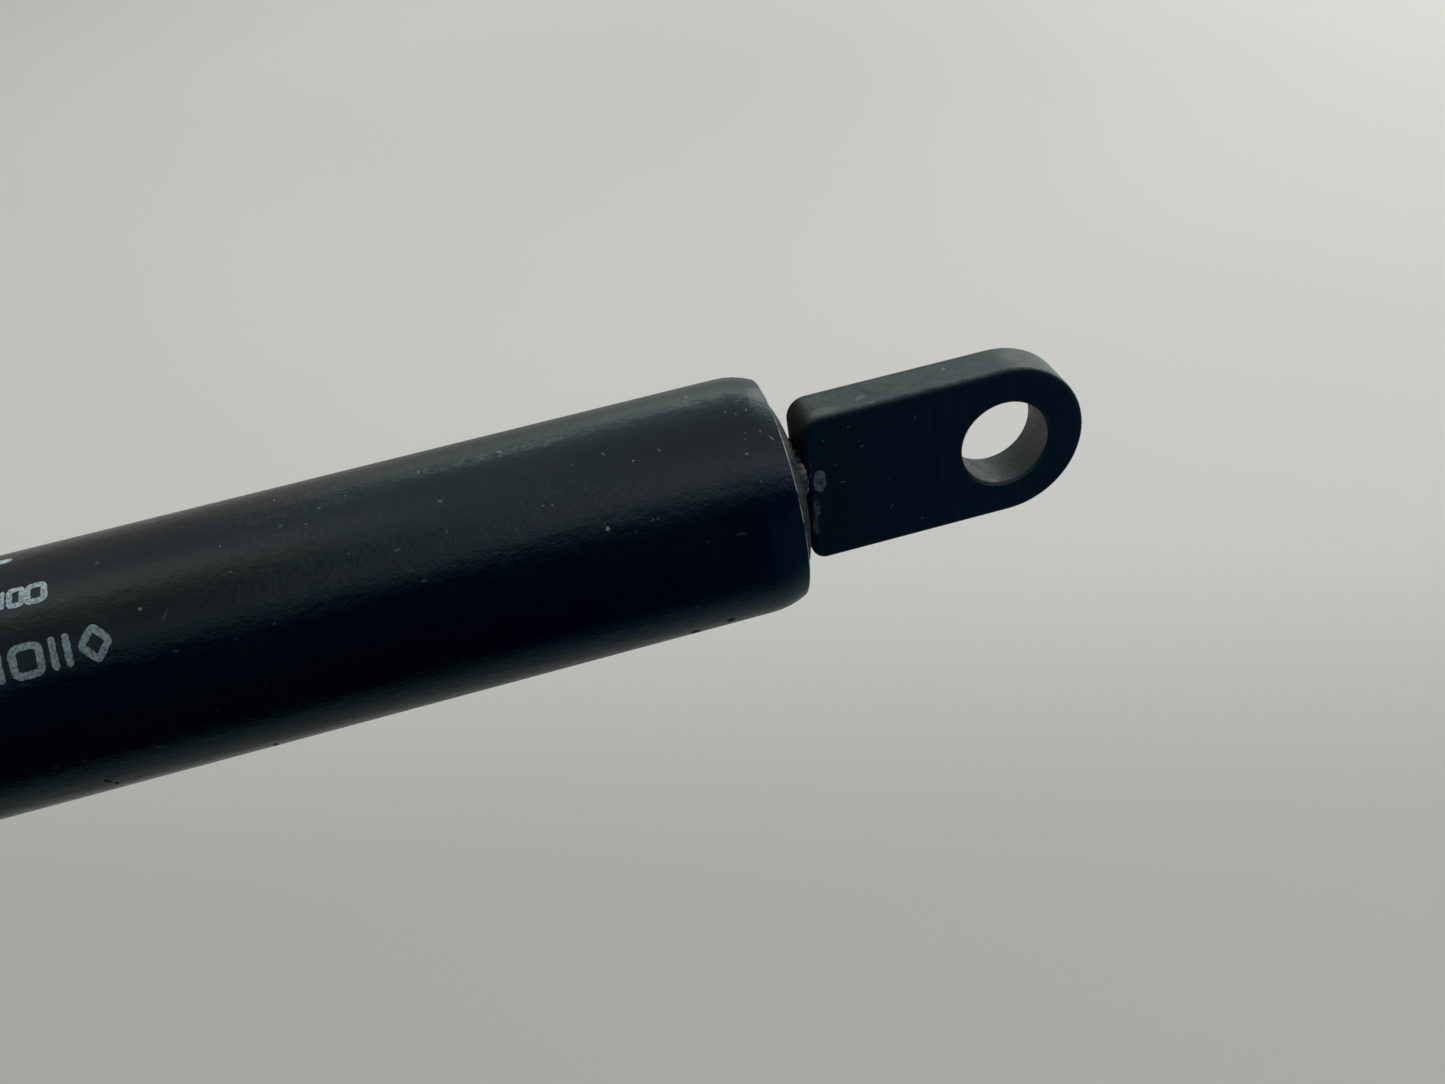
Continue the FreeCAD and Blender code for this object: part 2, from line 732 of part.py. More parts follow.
piston_nut = new_body("piston_nut")
hexagon = sketch_on(piston_nut, "YZ_Plane", "nut_outline")
flat = cell("nut_flats") / 2
corner = cell("nut_flats") * (1 / math.sqrt(3.0))
outline(
    hexagon,
    [
        (corner, zero, None),
        (corner / 2, flat, None),
        (-corner / 2, flat, None),
        (-corner, zero, None),
        (-corner / 2, -flat, None),
        (corner / 2, -flat, None),
    ],
)
circle = hexagon.addGeometry(
    Part.Circle(FreeCAD.Vector(0, 0, 0), FreeCAD.Vector(0, 0, 1), fit.value), False
)
hexagon.addConstraint(Sketcher.Constraint("Coincident", circle, 3, -1, 1))
dimension(hexagon, "Radius", (circle,), fit, "thread_radius")
blank = piston_nut.newObject("PartDesign::Pad", "nut_blank")
blank.Profile = (hexagon, [""])
blank.setExpression("Length", cell("nut_height").text)
doc.recompute()
bevel = sketch_on(piston_nut, "XY_Plane", "nut_bevel_outline")
nh = cell("nut_height")
outline(bevel, [(zero, flat, None), (zero, corner + 1, None), ((corner + 1 - flat) * 0.577, corner + 1, None)], "near")
outline(
    bevel,
    [(nh, flat, None), (nh - (corner + 1 - flat) * 0.577, corner + 1, None), (nh, corner + 1, None)],
    "far",
)
bevels = piston_nut.newObject("PartDesign::Groove", "nut_bevels")
bevels.Profile = (bevel, [""])
bevels.ReferenceAxis = (bevel, ["H_Axis"])
bevels.Angle = 360.0
piston_nut.Tip = bevels
along(piston_nut, -s5)
doc.recompute()
hexagon.Visibility = False
bevel.Visibility = False

# ---------------------------------------------------------------- check and export
doc.recompute()
failed = [o.Name for o in doc.Objects if "Invalid" in o.State or "Error" in o.State]
if failed:
    raise RuntimeError("objects failed: %s" % failed)

PIECES = [
    pressure_tube, end_plug, end_plug_o_ring, tube_eye, tube_eye_weld,
    rod_guide, guide_o_ring, rod_wiper, rod_seal, seal_support_ring,
    piston_rod, stop_washer, piston_spring_washer, throttle_disc, piston,
    piston_ring, backing_washer, piston_nut, rod_eye, rod_eye_weld,
]
for piece in PIECES:
    shape = piece.Shape
    if shape.isNull() or not shape.isValid() or not shape.Solids:
        raise RuntimeError("%s has no valid solid" % piece.Label)
    box = shape.BoundBox
    print(
        "%-22s solids %d  volume %9.2f  x %8.2f..%8.2f  y %6.2f..%6.2f  z %6.2f..%6.2f"
        % (piece.Label, len(shape.Solids), shape.Volume, box.XMin, box.XMax, box.YMin, box.YMax, box.ZMin, box.ZMax)
    )
    shape.exportStep("parts/%s.step" % piece.Label)
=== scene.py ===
"""Looks of the gas strut stay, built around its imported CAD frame.

Row frame: +X runs along the strut towards the tube's eye, +Z up, the origin at that eye's bore centre, metres.
"""

import math
import random

import bpy
from mathutils import Matrix, Vector


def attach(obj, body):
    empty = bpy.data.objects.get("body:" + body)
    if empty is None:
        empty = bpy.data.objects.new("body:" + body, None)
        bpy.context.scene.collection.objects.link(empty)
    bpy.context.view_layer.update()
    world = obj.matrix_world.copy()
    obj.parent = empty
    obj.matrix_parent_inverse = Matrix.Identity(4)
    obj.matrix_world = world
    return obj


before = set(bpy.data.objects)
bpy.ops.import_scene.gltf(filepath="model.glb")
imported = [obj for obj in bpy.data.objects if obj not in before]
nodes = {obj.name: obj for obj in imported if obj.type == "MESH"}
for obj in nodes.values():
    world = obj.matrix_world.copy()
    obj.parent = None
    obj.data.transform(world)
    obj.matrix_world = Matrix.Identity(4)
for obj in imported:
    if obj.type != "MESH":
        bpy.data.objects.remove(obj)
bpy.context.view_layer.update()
scene = bpy.context.scene
MM = 0.001


# ---------------------------------------------------------------- camera
def make_camera():
    data = bpy.data.cameras.new("camera")
    data.sensor_width = 36.0
    data.lens = 35.505
    data.clip_start = 0.004
    data.clip_end = 60.0
    obj = bpy.data.objects.new("camera", data)
    scene.collection.objects.link(obj)
    right = Vector((0.96040, -0.24312, -0.13610))
    up = Vector((0.25074, 0.54117, 0.80266))
    back = Vector((-0.12148, -0.80500, 0.58070))
    turn = Matrix((right, up, back)).transposed().to_4x4()
    obj.matrix_world = Matrix.Translation(Vector((-43.515, -107.187, 72.899)) * MM) @ turn
    scene.camera = obj


make_camera()
scene.view_settings.view_transform = "Standard"
scene.view_settings.look = "None"
scene.view_settings.exposure = 0.0
scene.view_settings.gamma = 1.0


# ---------------------------------------------------------------- node graph helper
class Graph:
    def __init__(self, tree):
        self.tree = tree
        tree.nodes.clear()

    def put(self, socket, value):
        if isinstance(value, bpy.types.NodeSocket):
            self.tree.links.new(value, socket)
        elif isinstance(value, (tuple, list)) and len(value) == 3 and len(socket.default_value) == 4:
            socket.default_value = (*value, 1.0)
        else:
            socket.default_value = value

    def node(self, kind, inputs=None, **props):
        made = self.tree.nodes.new("ShaderNode" + kind)
        for key, value in props.items():
            setattr(made, key, value)
        for key, value in (inputs or {}).items():
            self.put(made.inputs[key], value)
        return made

    def math(self, op, a, b=0.0, c=0.0, clamp=False):
        return self.node("Math", {0: a, 1: b, 2: c}, operation=op, use_clamp=clamp).outputs[0]

    def add(self, a, b):
        return self.math("ADD", a, b)

    def mul(self, a, b):
        return self.math("MULTIPLY", a, b)

    def vec(self, x, y, z=0.0):
        return self.node("CombineXYZ", {0: x, 1: y, 2: z}).outputs[0]

    def vmath(self, op, a, b=(0.0, 0.0, 0.0)):
        made = self.node("VectorMath", {0: a, 1: b}, operation=op)
        return made.outputs["Value"] if op == "LENGTH" else made.outputs["Vector"]

    def step(self, value, low, high, out_low=0.0, out_high=1.0):
        """Smooth step of value from low to high."""
        made = self.node(
            "MapRange",
            {"Value": value, "From Min": low, "From Max": high, "To Min": out_low, "To Max": out_high},
            interpolation_type="SMOOTHSTEP",
        )
        return made.outputs["Result"]

    def noise(self, vector, scale, detail=2.0, roughness=0.5, distortion=0.0):
        made = self.node(
            "TexNoise",
            {"Vector": vector, "Scale": scale, "Detail": detail, "Roughness": roughness, "Distortion": distortion},
        )
        return made.outputs["Fac"]

    def mix(self, fac, a, b):
        """Colour mix."""
        made = self.tree.nodes.new("ShaderNodeMix")
        made.data_type = "RGBA"
        for index, value in ((0, fac), (6, a), (7, b)):
            self.put(made.inputs[index], value)
        return made.outputs[2]

    def blend(self, fac, a, b):
        """Value mix."""
        made = self.tree.nodes.new("ShaderNodeMix")
        made.data_type = "FLOAT"
        for index, value in ((0, fac), (2, a), (3, b)):
            self.put(made.inputs[index], value)
        return made.outputs[0]

    def bump(self, height, distance, normal=None):
        made = self.node("Bump", {"Height": height, "Strength": 1.0, "Distance": distance})
        if normal is not None:
            self.put(made.inputs["Normal"], normal)
        return made.outputs["Normal"]

    def flakes(self, flat, marks, size=1.0):
        """Mask of small elliptical marks (x, s, half length, half width, turn, strength) on a flat coordinate in mm."""
        total = None
        for x, s, a, b, turn, strength in marks:
            d = self.vmath("SUBTRACT", flat, (x, s, 0.0))
            if abs(a - b) > 0.03:
                d = self.node("VectorRotate", {"Vector": d, "Axis": (0.0, 0.0, 1.0), "Angle": -turn}, rotation_type="AXIS_ANGLE").outputs[0]
            d = self.vmath("LENGTH", self.vmath("MULTIPLY", d, (1.0 / a / size, 1.0 / b / size, 1.0)))
            one = self.step(d, 0.35, 1.15, strength, 0.0)
            total = one if total is None else self.math("MAXIMUM", total, one)
        return total


def material(name):
    made = bpy.data.materials.new(name)
    made.use_nodes = True
    graph = Graph(made.node_tree)
    out = graph.node("OutputMaterial")
    shader = graph.node("BsdfPrincipled")
    graph.tree.links.new(shader.outputs[0], out.inputs[0])
    return made, graph, shader


def dress(node, made):
    data = nodes[node].data
    data.materials.clear()
    data.materials.append(made)


def coords(graph):
    place = graph.node("TexCoord").outputs["Object"]
    split = graph.node("SeparateXYZ", {0: place})
    return place, split.outputs[0], split.outputs[1], split.outputs[2]


def dust(graph, place, spacing_mm, size_mm, share, seed=0.0):
    """Sparse random specks of dust: about share of the cells, each of side spacing_mm, holds one."""
    moved = graph.vmath("ADD", place, (seed * 0.01, seed * 0.017, seed * 0.013))
    cells = graph.node("TexVoronoi", {"Vector": moved, "Scale": 1000.0 / spacing_mm, "Randomness": 1.0})
    chosen = graph.node("SeparateColor", {0: cells.outputs["Color"]})
    size = graph.math("MULTIPLY_ADD", chosen.outputs[1], size_mm / spacing_mm * 0.8, size_mm / spacing_mm * 0.5)
    near = graph.math("DIVIDE", cells.outputs["Distance"], size)
    spot = graph.step(near, 0.5, 1.1, 1.0, 0.0)
    keep = graph.math("GREATER_THAN", chosen.outputs[0], 1.0 - share)
    bright = graph.math("MULTIPLY_ADD", chosen.outputs[2], 0.7, 0.3)
    return graph.mul(graph.mul(spot, keep), bright)


# ---------------------------------------------------------------- black paint on the pressure tube
BRIGHT = [
    (-68.94, 13.82, 0.16, 0.12, 1.81, 0.70),
    (-52.15, 16.88, 0.32, 0.17, 1.64, 0.80),
    (-52.68, 17.83, 0.28, 0.13, 1.64, 0.40),
    (-45.13, 16.86, 0.33, 0.21, 2.45, 0.70),
    (-50.82, 12.79, 0.34, 0.15, 2.81, 0.70),
    (-64.40, 18.19, 0.30, 0.12, 1.74, 0.60),
    (-60.66, 15.32, 0.20, 0.15, 2.04, 0.50),
    (-58.43, 16.04, 0.21, 0.12, 1.70, 0.40),
    (-55.09, 9.40, 0.40, 0.17, -2.85, 0.35),
    (-58.98, 10.11, 0.17, 0.16, 1.76, 0.30),
    (-60.87, 7.86, 0.16, 0.12, 2.85, 0.30),
    (-53.60, 6.37, 0.40, 0.16, -3.04, 0.35),
    (-65.96, 6.03, 0.20, 0.16, -2.99, 0.30),
    (-52.31, -1.64, 0.24, 0.16, 1.48, 0.25),
    (-50.83, 9.84, 0.17, 0.16, 1.65, 0.30),
    (-36.72, 13.41, 0.34, 0.12, 2.11, 0.70),
    (-34.47, 11.97, 0.17, 0.15, 1.41, 1.00),
    (-32.09, 12.40, 0.29, 0.11, 1.88, 0.70),
    (-28.21, 18.40, 0.42, 0.13, 1.50, 0.80),
    (-39.49, 13.08, 0.17, 0.15, 2.47, 0.35),
    (-42.70, 9.98, 0.18, 0.16, 1.50, 0.50),
    (-41.97, 9.87, 0.18, 0.16, 1.48, 0.50),
    (-45.37, 8.48, 0.17, 0.16, 1.51, 0.35),
    (-35.81, 5.91, 0.17, 0.13, 2.88, 0.30),
    (-34.18, 6.53, 0.21, 0.13, -2.18, 0.50),
    (-33.76, 6.50, 0.17, 0.13, 2.89, 0.40),
    (-23.82, 14.42, 0.18, 0.13, 1.35, 0.60),
    (-24.80, 14.14, 0.18, 0.13, 1.35, 0.50),
    (-24.64, 11.95, 0.15, 0.13, 1.27, 0.50),
    (-24.81, 11.38, 0.14, 0.13, 1.25, 0.50),
    (-23.33, 11.87, 0.28, 0.11, 1.87, 0.60),
    (-22.52, 11.03, 0.44, 0.11, 2.10, 0.70),
    (-24.55, 7.36, 0.17, 0.17, -2.71, 0.50),
    (-27.25, 3.49, 0.60, 0.18, 3.09, 0.30),
    (-30.13, 3.55, 0.26, 0.17, 2.84, 0.18),
    (-25.62, 14.69, 0.19, 0.13, 1.37, 0.40),
    (-74.01, 8.92, 1.11, 0.12, -2.11, 0.22),
    (-85.46, 0.11, 0.18, 0.16, 2.85, 0.25),
    (-83.78, -1.66, 0.18, 0.15, 1.25, 0.25),
    (-86.00, -1.61, 0.29, 0.24, 2.67, 0.30),
    (-77.92, -2.40, 0.55, 0.19, 2.52, 0.25),
    (-73.85, 5.89, 0.27, 0.20, 3.08, 0.25),
    (-72.39, -0.12, 0.21, 0.15, 1.27, 0.15),
    (-69.13, 5.62, 0.16, 0.15, 1.26, 0.20),
    (-81.71, 12.41, 0.22, 0.17, 2.36, 0.20),
    (-78.90, 15.36, 0.34, 0.22, 2.03, 0.20),
    (-68.42, 11.12, 0.24, 0.17, 2.73, 0.30),
    (-63.97, 14.36, 0.27, 0.20, 2.40, 0.30),
    (-61.87, 13.87, 0.23, 0.19, 2.12, 0.30),
]
# Narrow bands where the overhead reflection streak runs along the tube: the pale grain laid there is partly dust and
# partly a painted highlight.
REFLECTION_STREAK_BANDS = [
    (-45.0, 16.6, 10.0, 0.75, 0.0, 1.0),
    (-27.5, 17.3, 5.5, 0.75, 0.0, 1.0),
    (-62.0, 15.6, 8.0, 0.70, 0.0, 0.3),
    (-23.6, 15.8, 1.1, 1.3, 0.5, 0.8),
]
RUBBED = [
    (-40.0, 10.4, 6.5, 2.1, 0.0, 1.0),
    (-27.5, 9.6, 4.5, 1.5, 0.0, 0.8),
    (-66.0, 12.5, 6.0, 1.6, 0.0, 0.7),
    (-52.0, 7.4, 5.0, 1.6, 0.0, 0.6),
]
WARM = [
    (-38.00, 6.74, 0.27, 0.25, 1.02, 1.00),
    (-75.81, 9.92, 0.17, 0.15, 1.91, 0.80),
    (-25.04, 10.00, 0.17, 0.14, 2.92, 0.80),
]
CHIPS = [
    (-38.10, 11.62, 0.42, 0.33, -2.94, 0.28),
    (-37.98, 9.43, 0.58, 0.30, -2.94, 0.30),
    (-35.18, 9.59, 0.30, 0.26, -2.72, 0.25),
    (-83.37, -5.53, 0.82, 0.37, 1.75, 0.90),
    (-83.03, -6.60, 0.62, 0.23, 1.33, 0.90),
    (-29.08, -7.11, 0.94, 0.53, 1.59, 0.90),
    (-32.29, -8.31, 1.35, 0.72, 1.69, 0.80),
    (-38.99, -4.84, 0.39, 0.35, 1.72, 0.70),
    (-46.74, -4.21, 0.35, 0.34, 1.17, 0.60),
    (-70.08, -8.48, 1.50, 0.41, 1.39, 0.70),
    (-29.72, 7.98, 0.51, 0.25, -2.95, 0.35),
    (-33.52, 9.33, 0.42, 0.22, -3.03, 0.35),
]


def tube_paint():
    made, g, shader = material("tube_paint")
    place, x, y, z = coords(g)
    along = g.mul(x, 1000.0)
    around = g.mul(g.math("ARCTAN2", z, g.mul(y, -1.0)), 11.0)
    flat = g.vec(along, around)
    radius = g.mul(g.vmath("LENGTH", g.vec(0.0, y, z)), 1000.0)

    long_way = g.vmath("MULTIPLY", place, (0.16, 1.0, 1.0))
    fine = g.noise(place, 3200.0, 3.0, 0.6)
    peel = g.noise(place, 900.0, 3.0, 0.55)
    drawn = g.noise(long_way, 1500.0, 3.0, 0.6)
    wave = g.noise(g.vmath("MULTIPLY", place, (0.5, 1.0, 1.0)), 520.0, 4.0, 0.6)
    cloud = g.noise(place, 130.0, 3.0, 0.6)
    patch = g.noise(long_way, 420.0, 4.0, 0.65)

    ragged = g.vmath("ADD", flat, g.vmath("MULTIPLY", g.node("TexNoise", {"Vector": place, "Scale": 5200.0, "Detail": 2.0}).outputs["Color"], (0.22, 0.22, 0.0)))
    ragged = g.vmath("SUBTRACT", ragged, (0.11, 0.11, 0.0))
    bright = g.flakes(ragged, BRIGHT, 0.82)
    warm = g.flakes(ragged, WARM, 0.9)
    chips = g.flakes(ragged, CHIPS)
    crumbs = dust(g, place, 1.7, 0.085, 0.16)
    haze = dust(g, place, 0.62, 0.06, 0.20, 3.0)
    powder = dust(g, place, 0.34, 0.05, 0.30, 6.0)

    base = g.mix(g.step(cloud, 0.35, 0.7), (0.0010, 0.0078, 0.0185), (0.0022, 0.0100, 0.0200))
    base = g.mix(g.mul(g.step(patch, 0.52, 0.75), 0.35), base, (0.014, 0.017, 0.020))
    base = g.mix(g.mul(powder, 0.10), base, (0.16, 0.18, 0.18))
    base = g.mix(g.mul(haze, 0.24), base, (0.16, 0.18, 0.18))
    base = g.mix(g.mul(crumbs, 0.45), base, (0.24, 0.25, 0.24))
    base = g.mix(g.mul(bright, 0.62), base, (0.40, 0.43, 0.42))
    base = g.mix(warm, base, (0.46, 0.41, 0.30))
    # Rubbed places: a cloud of small dull and pale marks.
    rubbed = g.flakes(flat, RUBBED)
    pale = g.mul(rubbed, g.step(g.noise(place, 1900.0, 5.0, 0.75), 0.53, 0.66))
    dull = g.mul(rubbed, g.step(g.noise(g.vmath("ADD", place, (0.3, 0.1, 0.2)), 1300.0, 5.0, 0.72), 0.52, 0.62))
    base = g.mix(g.mul(pale, 0.30), base, (0.09, 0.10, 0.10))
    # Pale grain along the reflection streak: partly dust, partly a painted highlight.
    grain_and_painted_highlight = g.mul(g.flakes(flat, REFLECTION_STREAK_BANDS), g.step(g.noise(place, 1700.0, 5.0, 0.78), 0.44, 0.60))
    base = g.mix(g.mul(grain_and_painted_highlight, 0.34), base, (0.20, 0.205, 0.215))
    base = g.mix(g.mul(chips, 0.8), base, (0.002, 0.003, 0.004))

    # The cut edge of the rolled end has lost its paint here and there.
    edge = g.mul(g.step(along, -21.72, -21.60), g.step(radius, 9.70, 9.95))
    worn = g.mul(edge, g.step(g.noise(place, 620.0, 5.0, 0.75), 0.36, 0.58))
    base = g.mix(worn, base, (0.56, 0.60, 0.60))
    g.put(shader.inputs["Base Color"], base)

    rough = g.math("MULTIPLY_ADD", g.step(cloud, 0.3, 0.7), 0.04, 0.160)
    rough = g.add(rough, g.mul(g.step(patch, 0.45, 0.8), 0.07))
    rough = g.math("MAXIMUM", rough, g.mul(g.math("MAXIMUM", bright, crumbs), 0.6))
    rough = g.math("MAXIMUM", rough, g.mul(chips, 0.75))
    rough = g.math("MAXIMUM", rough, g.mul(dull, 0.42))
    rough = g.blend(worn, rough, 0.45)
    g.put(shader.inputs["Roughness"], rough)
    shader.inputs["IOR"].default_value = 1.5

    normal = g.bump(wave, 0.000055)
    normal = g.bump(peel, 0.000042, normal)
    normal = g.bump(drawn, 0.000010, normal)
    normal = g.bump(fine, 0.000024, normal)
    normal = g.bump(g.math("SUBTRACT", g.math("MAXIMUM", bright, g.math("MAXIMUM", warm, crumbs)), chips), 0.00002, normal)
    g.put(shader.inputs["Normal"], normal)
    return made


# ---------------------------------------------------------------- black paint on the welded eyes
def eye_paint(name, spots):
    made, g, shader = material(name)
    place, x, y, z = coords(g)
    along = g.mul(x, 1000.0)
    high = g.mul(z, 1000.0)
    across = g.mul(y, 1000.0)
    facing = g.node("SeparateXYZ", {0: g.node("TexCoord").outputs["Normal"]})
    side = g.step(g.math("ABSOLUTE", facing.outputs[1]), 0.90, 0.45)
    fine = g.noise(place, 2600.0, 3.0, 0.6)
    peel = g.noise(place, 700.0, 3.0, 0.55)
    cloud = g.noise(place, 180.0, 4.0, 0.6)
    broad = g.noise(place, 360.0, 5.0, 0.72)
    crust = g.noise(place, 1250.0, 5.0, 0.75, 0.4)
    streak = g.noise(g.vmath("MULTIPLY", place, (1.0, 1.0, 0.06)), 2300.0, 3.0, 0.6)
    crumbs = dust(g, place, 1.5, 0.08, 0.13, 5.0)
    haze = dust(g, place, 0.55, 0.055, 0.22, 9.0)
    motes = dust(g, place, 0.85, 0.07, 0.30, 12.0)

    base = g.mix(g.step(cloud, 0.3, 0.7), (0.0085, 0.0235, 0.0330), (0.0125, 0.0290, 0.0385))
    base = g.mix(g.mul(g.step(streak, 0.52, 0.72), 0.12), base, (0.10, 0.12, 0.13))
    # The sheared edges are rough: mottled paint over a torn surface, rubbed grey on the high spots.
    torn = g.mul(side, g.step(g.add(g.mul(broad, 0.5), g.mul(crust, 0.5)), 0.46, 0.58))
    dark = g.mul(side, g.step(g.add(g.mul(broad, 0.35), g.mul(crust, 0.65)), 0.49, 0.40))
    base = g.mix(g.mul(dark, 0.9), base, (0.006, 0.014, 0.020))
    base = g.mix(g.mul(torn, 0.45), base, (0.118, 0.116, 0.112))
    base = g.mix(g.mul(g.mul(side, motes), 0.60), base, (0.30, 0.30, 0.28))
    bore = g.mul(side, g.step(g.mul(g.vmath("LENGTH", g.vec(x, z, 0.0)), 1000.0), 5.0, 4.5))
    # Painted light in the bore: the wall facing -X is lightened as if lit, and the wall facing +X is darkened as if in
    # shade.
    painted_lit_bore_wall = g.mul(bore, g.step(facing.outputs[0], -0.25, -0.90))
    painted_shaded_bore_wall = g.mul(bore, g.step(facing.outputs[0], 0.10, 0.60))
    base = g.mix(g.mul(painted_lit_bore_wall, 0.80), base, (0.128, 0.160, 0.172))
    base = g.mix(g.mul(painted_shaded_bore_wall, 0.95), base, (0.003, 0.009, 0.012))
    base = g.mix(g.mul(haze, 0.12), base, (0.16, 0.18, 0.18))
    base = g.mix(g.mul(crumbs, 0.35), base, (0.24, 0.25, 0.24))
    rough = g.math("MULTIPLY_ADD", cloud, 0.10, 0.27)
    rough = g.add(rough, g.mul(side, g.math("MULTIPLY_ADD", torn, 0.16, 0.03)))
    height = g.mul(crumbs, 1.0)
    if spots:
        flat = g.vec(along, high)
        front = g.step(across, -2.0, -2.3)
        light = g.mul(g.flakes(flat, spots["light"]), front)
        base = g.mix(g.mul(light, 0.7), base, (0.36, 0.37, 0.34))
        warm = g.mul(g.flakes(flat, spots["warm"]), front)
        base = g.mix(g.mul(warm, 0.7), base, (0.34, 0.27, 0.18))
        mottle = g.noise(place, 1500.0, 4.0, 0.7)
        ragged = g.vmath("ADD", flat, g.vmath("MULTIPLY", g.node("TexNoise", {"Vector": place, "Scale": 1700.0, "Detail": 3.0}).outputs["Color"], (0.55, 0.55, 0.0)))
        ragged = g.vmath("SUBTRACT", ragged, (0.275, 0.275, 0.0))
        bare = g.mul(g.step(g.mul(g.flakes(ragged, spots["bare"]), front), 0.15, 0.5), g.step(mottle, 0.22, 0.45))
        base = g.mix(g.mul(bare, 0.9), base, g.mix(g.step(mottle, 0.38, 0.62), (0.24, 0.24, 0.23), (0.46, 0.46, 0.44)))
        rusty = g.mul(g.mul(g.flakes(ragged, spots["rusty"]), front), g.step(mottle, 0.40, 0.55))
        base = g.mix(g.mul(rusty, 0.85), base, g.mix(g.step(crust, 0.42, 0.58), (0.14, 0.12, 0.10), (0.42, 0.36, 0.30)))
        # Painted shade: the eye's end facing the tube is darkened almost to black, and it is also made rougher.
        corner = g.mul(g.mul(side, g.step(facing.outputs[0], -0.20, -0.60)), g.step(along, -16.0, -17.0))
        base = g.mix(g.mul(corner, 0.97), base, (0.002, 0.006, 0.009))
        rough = g.math("MAXIMUM", rough, g.mul(corner, 0.65))
        # Painted highlight on the rounded end facing +X: it is lightened towards pale grey and mottled by the
        # torn-paint mask.
        painted_highlight_on_end = g.mul(g.mul(side, g.step(facing.outputs[0], 0.45, 0.85)), g.step(along, 3.5, 5.5))
        base = g.mix(g.mul(painted_highlight_on_end, g.math("MULTIPLY_ADD", torn, 0.30, 0.25)), base, (0.36, 0.36, 0.34))
        top = g.step(high, 7.1, 7.4)
        patch = g.mul(g.flakes(g.vec(along, across), spots["top"]), top)
        base = g.mix(g.mul(patch, 0.7), base, (0.30, 0.31, 0.29))
        rough = g.math("MAXIMUM", rough, g.mul(g.math("MAXIMUM", bare, rusty), 0.7))
        height = g.math("MAXIMUM", height, g.math("MAXIMUM", light, g.mul(g.mul(rusty, mottle), 3.0)))
    g.put(shader.inputs["Base Color"], base)
    g.put(shader.inputs["Roughness"], rough)
    shader.inputs["IOR"].default_value = 1.5
    normal = g.bump(peel, 0.0000080)
    normal = g.bump(streak, 0.0000020, normal)
    normal = g.bump(g.mul(crust, side), 0.000045, normal)
    normal = g.bump(g.mul(broad, side), 0.000050, normal)
    normal = g.bump(fine, 0.0000030, normal)
    normal = g.bump(height, 0.00003, normal)
    g.put(shader.inputs["Normal"], normal)
    return made


# ---------------------------------------------------------------- the other finishes
def plain(name, dark, light, metallic, rough, rough_span, scale, height, stretch=(1.0, 1.0, 1.0), ior=1.5, speck=None):
    """A finish of two mottled tones with its own grain direction."""
    made, g, shader = material(name)
    place, x, y, z = coords(g)
    grain = g.noise(g.vmath("MULTIPLY", place, stretch), scale, 4.0, 0.6)
    cloud = g.noise(place, 150.0, 3.0, 0.6)
    base = g.mix(g.step(g.add(g.mul(grain, 0.6), g.mul(cloud, 0.4)), 0.35, 0.65), dark, light)
    if speck:
        base = g.mix(g.mul(dust(g, place, 1.1, 0.09, 0.3, 2.0), 0.7), base, speck)
    g.put(shader.inputs["Base Color"], base)
    shader.inputs["Metallic"].default_value = metallic
    shader.inputs["IOR"].default_value = ior
    g.put(shader.inputs["Roughness"], g.math("MULTIPLY_ADD", grain, rough_span, rough))
    g.put(shader.inputs["Normal"], g.bump(grain, height))
    return made


def weld():
    made, g, shader = material("weld_steel")
    place, x, y, z = coords(g)
    crust = g.noise(place, 1300.0, 6.0, 0.7)
    cloud = g.noise(place, 350.0, 4.0, 0.6)
    base = g.mix(g.step(crust, 0.38, 0.62), (0.060, 0.058, 0.052), (0.360, 0.325, 0.285))
    base = g.mix(g.mul(g.step(cloud, 0.5, 0.7), 0.55), base, (0.260, 0.185, 0.135))
    # Deep in the joint, within the tang's thickness, the metal is darkened almost to black: painted shade in the gap
    # between tang and plug.
    painted_gap_shade = g.step(g.mul(g.math("ABSOLUTE", y), 1000.0), 2.75, 2.35)
    base = g.mix(g.mul(painted_gap_shade, 0.75), base, (0.012, 0.012, 0.011))
    g.put(shader.inputs["Base Color"], base)
    g.put(shader.inputs["Roughness"], g.math("MULTIPLY_ADD", crust, 0.25, 0.45))
    normal = g.bump(crust, 0.00006)
    g.put(shader.inputs["Normal"], normal)
    return made


def plug_steel():
    """The plug's steel is bare and dull, with a tan crust from the weld near the middle of its face."""
    made, g, shader = material("plug_steel")
    place, x, y, z = coords(g)
    radius = g.mul(g.vmath("LENGTH", g.vec(0.0, y, z)), 1000.0)
    turned = g.noise(g.vmath("MULTIPLY", place, (1.0, 0.3, 0.3)), 1100.0, 4.0, 0.65)
    crust = g.noise(place, 1500.0, 5.0, 0.75)
    cloud = g.noise(place, 260.0, 4.0, 0.6)
    base = g.mix(g.step(g.add(g.mul(turned, 0.6), g.mul(cloud, 0.4)), 0.36, 0.64), (0.050, 0.056, 0.054), (0.110, 0.106, 0.096))
    base = g.mix(g.step(crust, 0.50, 0.40), base, (0.026, 0.030, 0.029))
    outer = g.mul(g.step(radius, 7.6, 5.2), g.step(crust, 0.42, 0.56))
    base = g.mix(g.mul(outer, 0.85), base, (0.190, 0.150, 0.118))
    base = g.mix(g.mul(dust(g, place, 1.0, 0.08, 0.3, 2.0), 0.6), base, (0.24, 0.23, 0.20))
    g.put(shader.inputs["Base Color"], base)
    g.put(shader.inputs["Roughness"], g.math("MULTIPLY_ADD", turned, 0.2, 0.55))
    shader.inputs["Specular IOR Level"].default_value = 0.16
    normal = g.bump(turned, 0.000014)
    normal = g.bump(g.mul(crust, g.step(radius, 8.2, 5.2)), 0.00006, normal)
    g.put(shader.inputs["Normal"], normal)
    return made


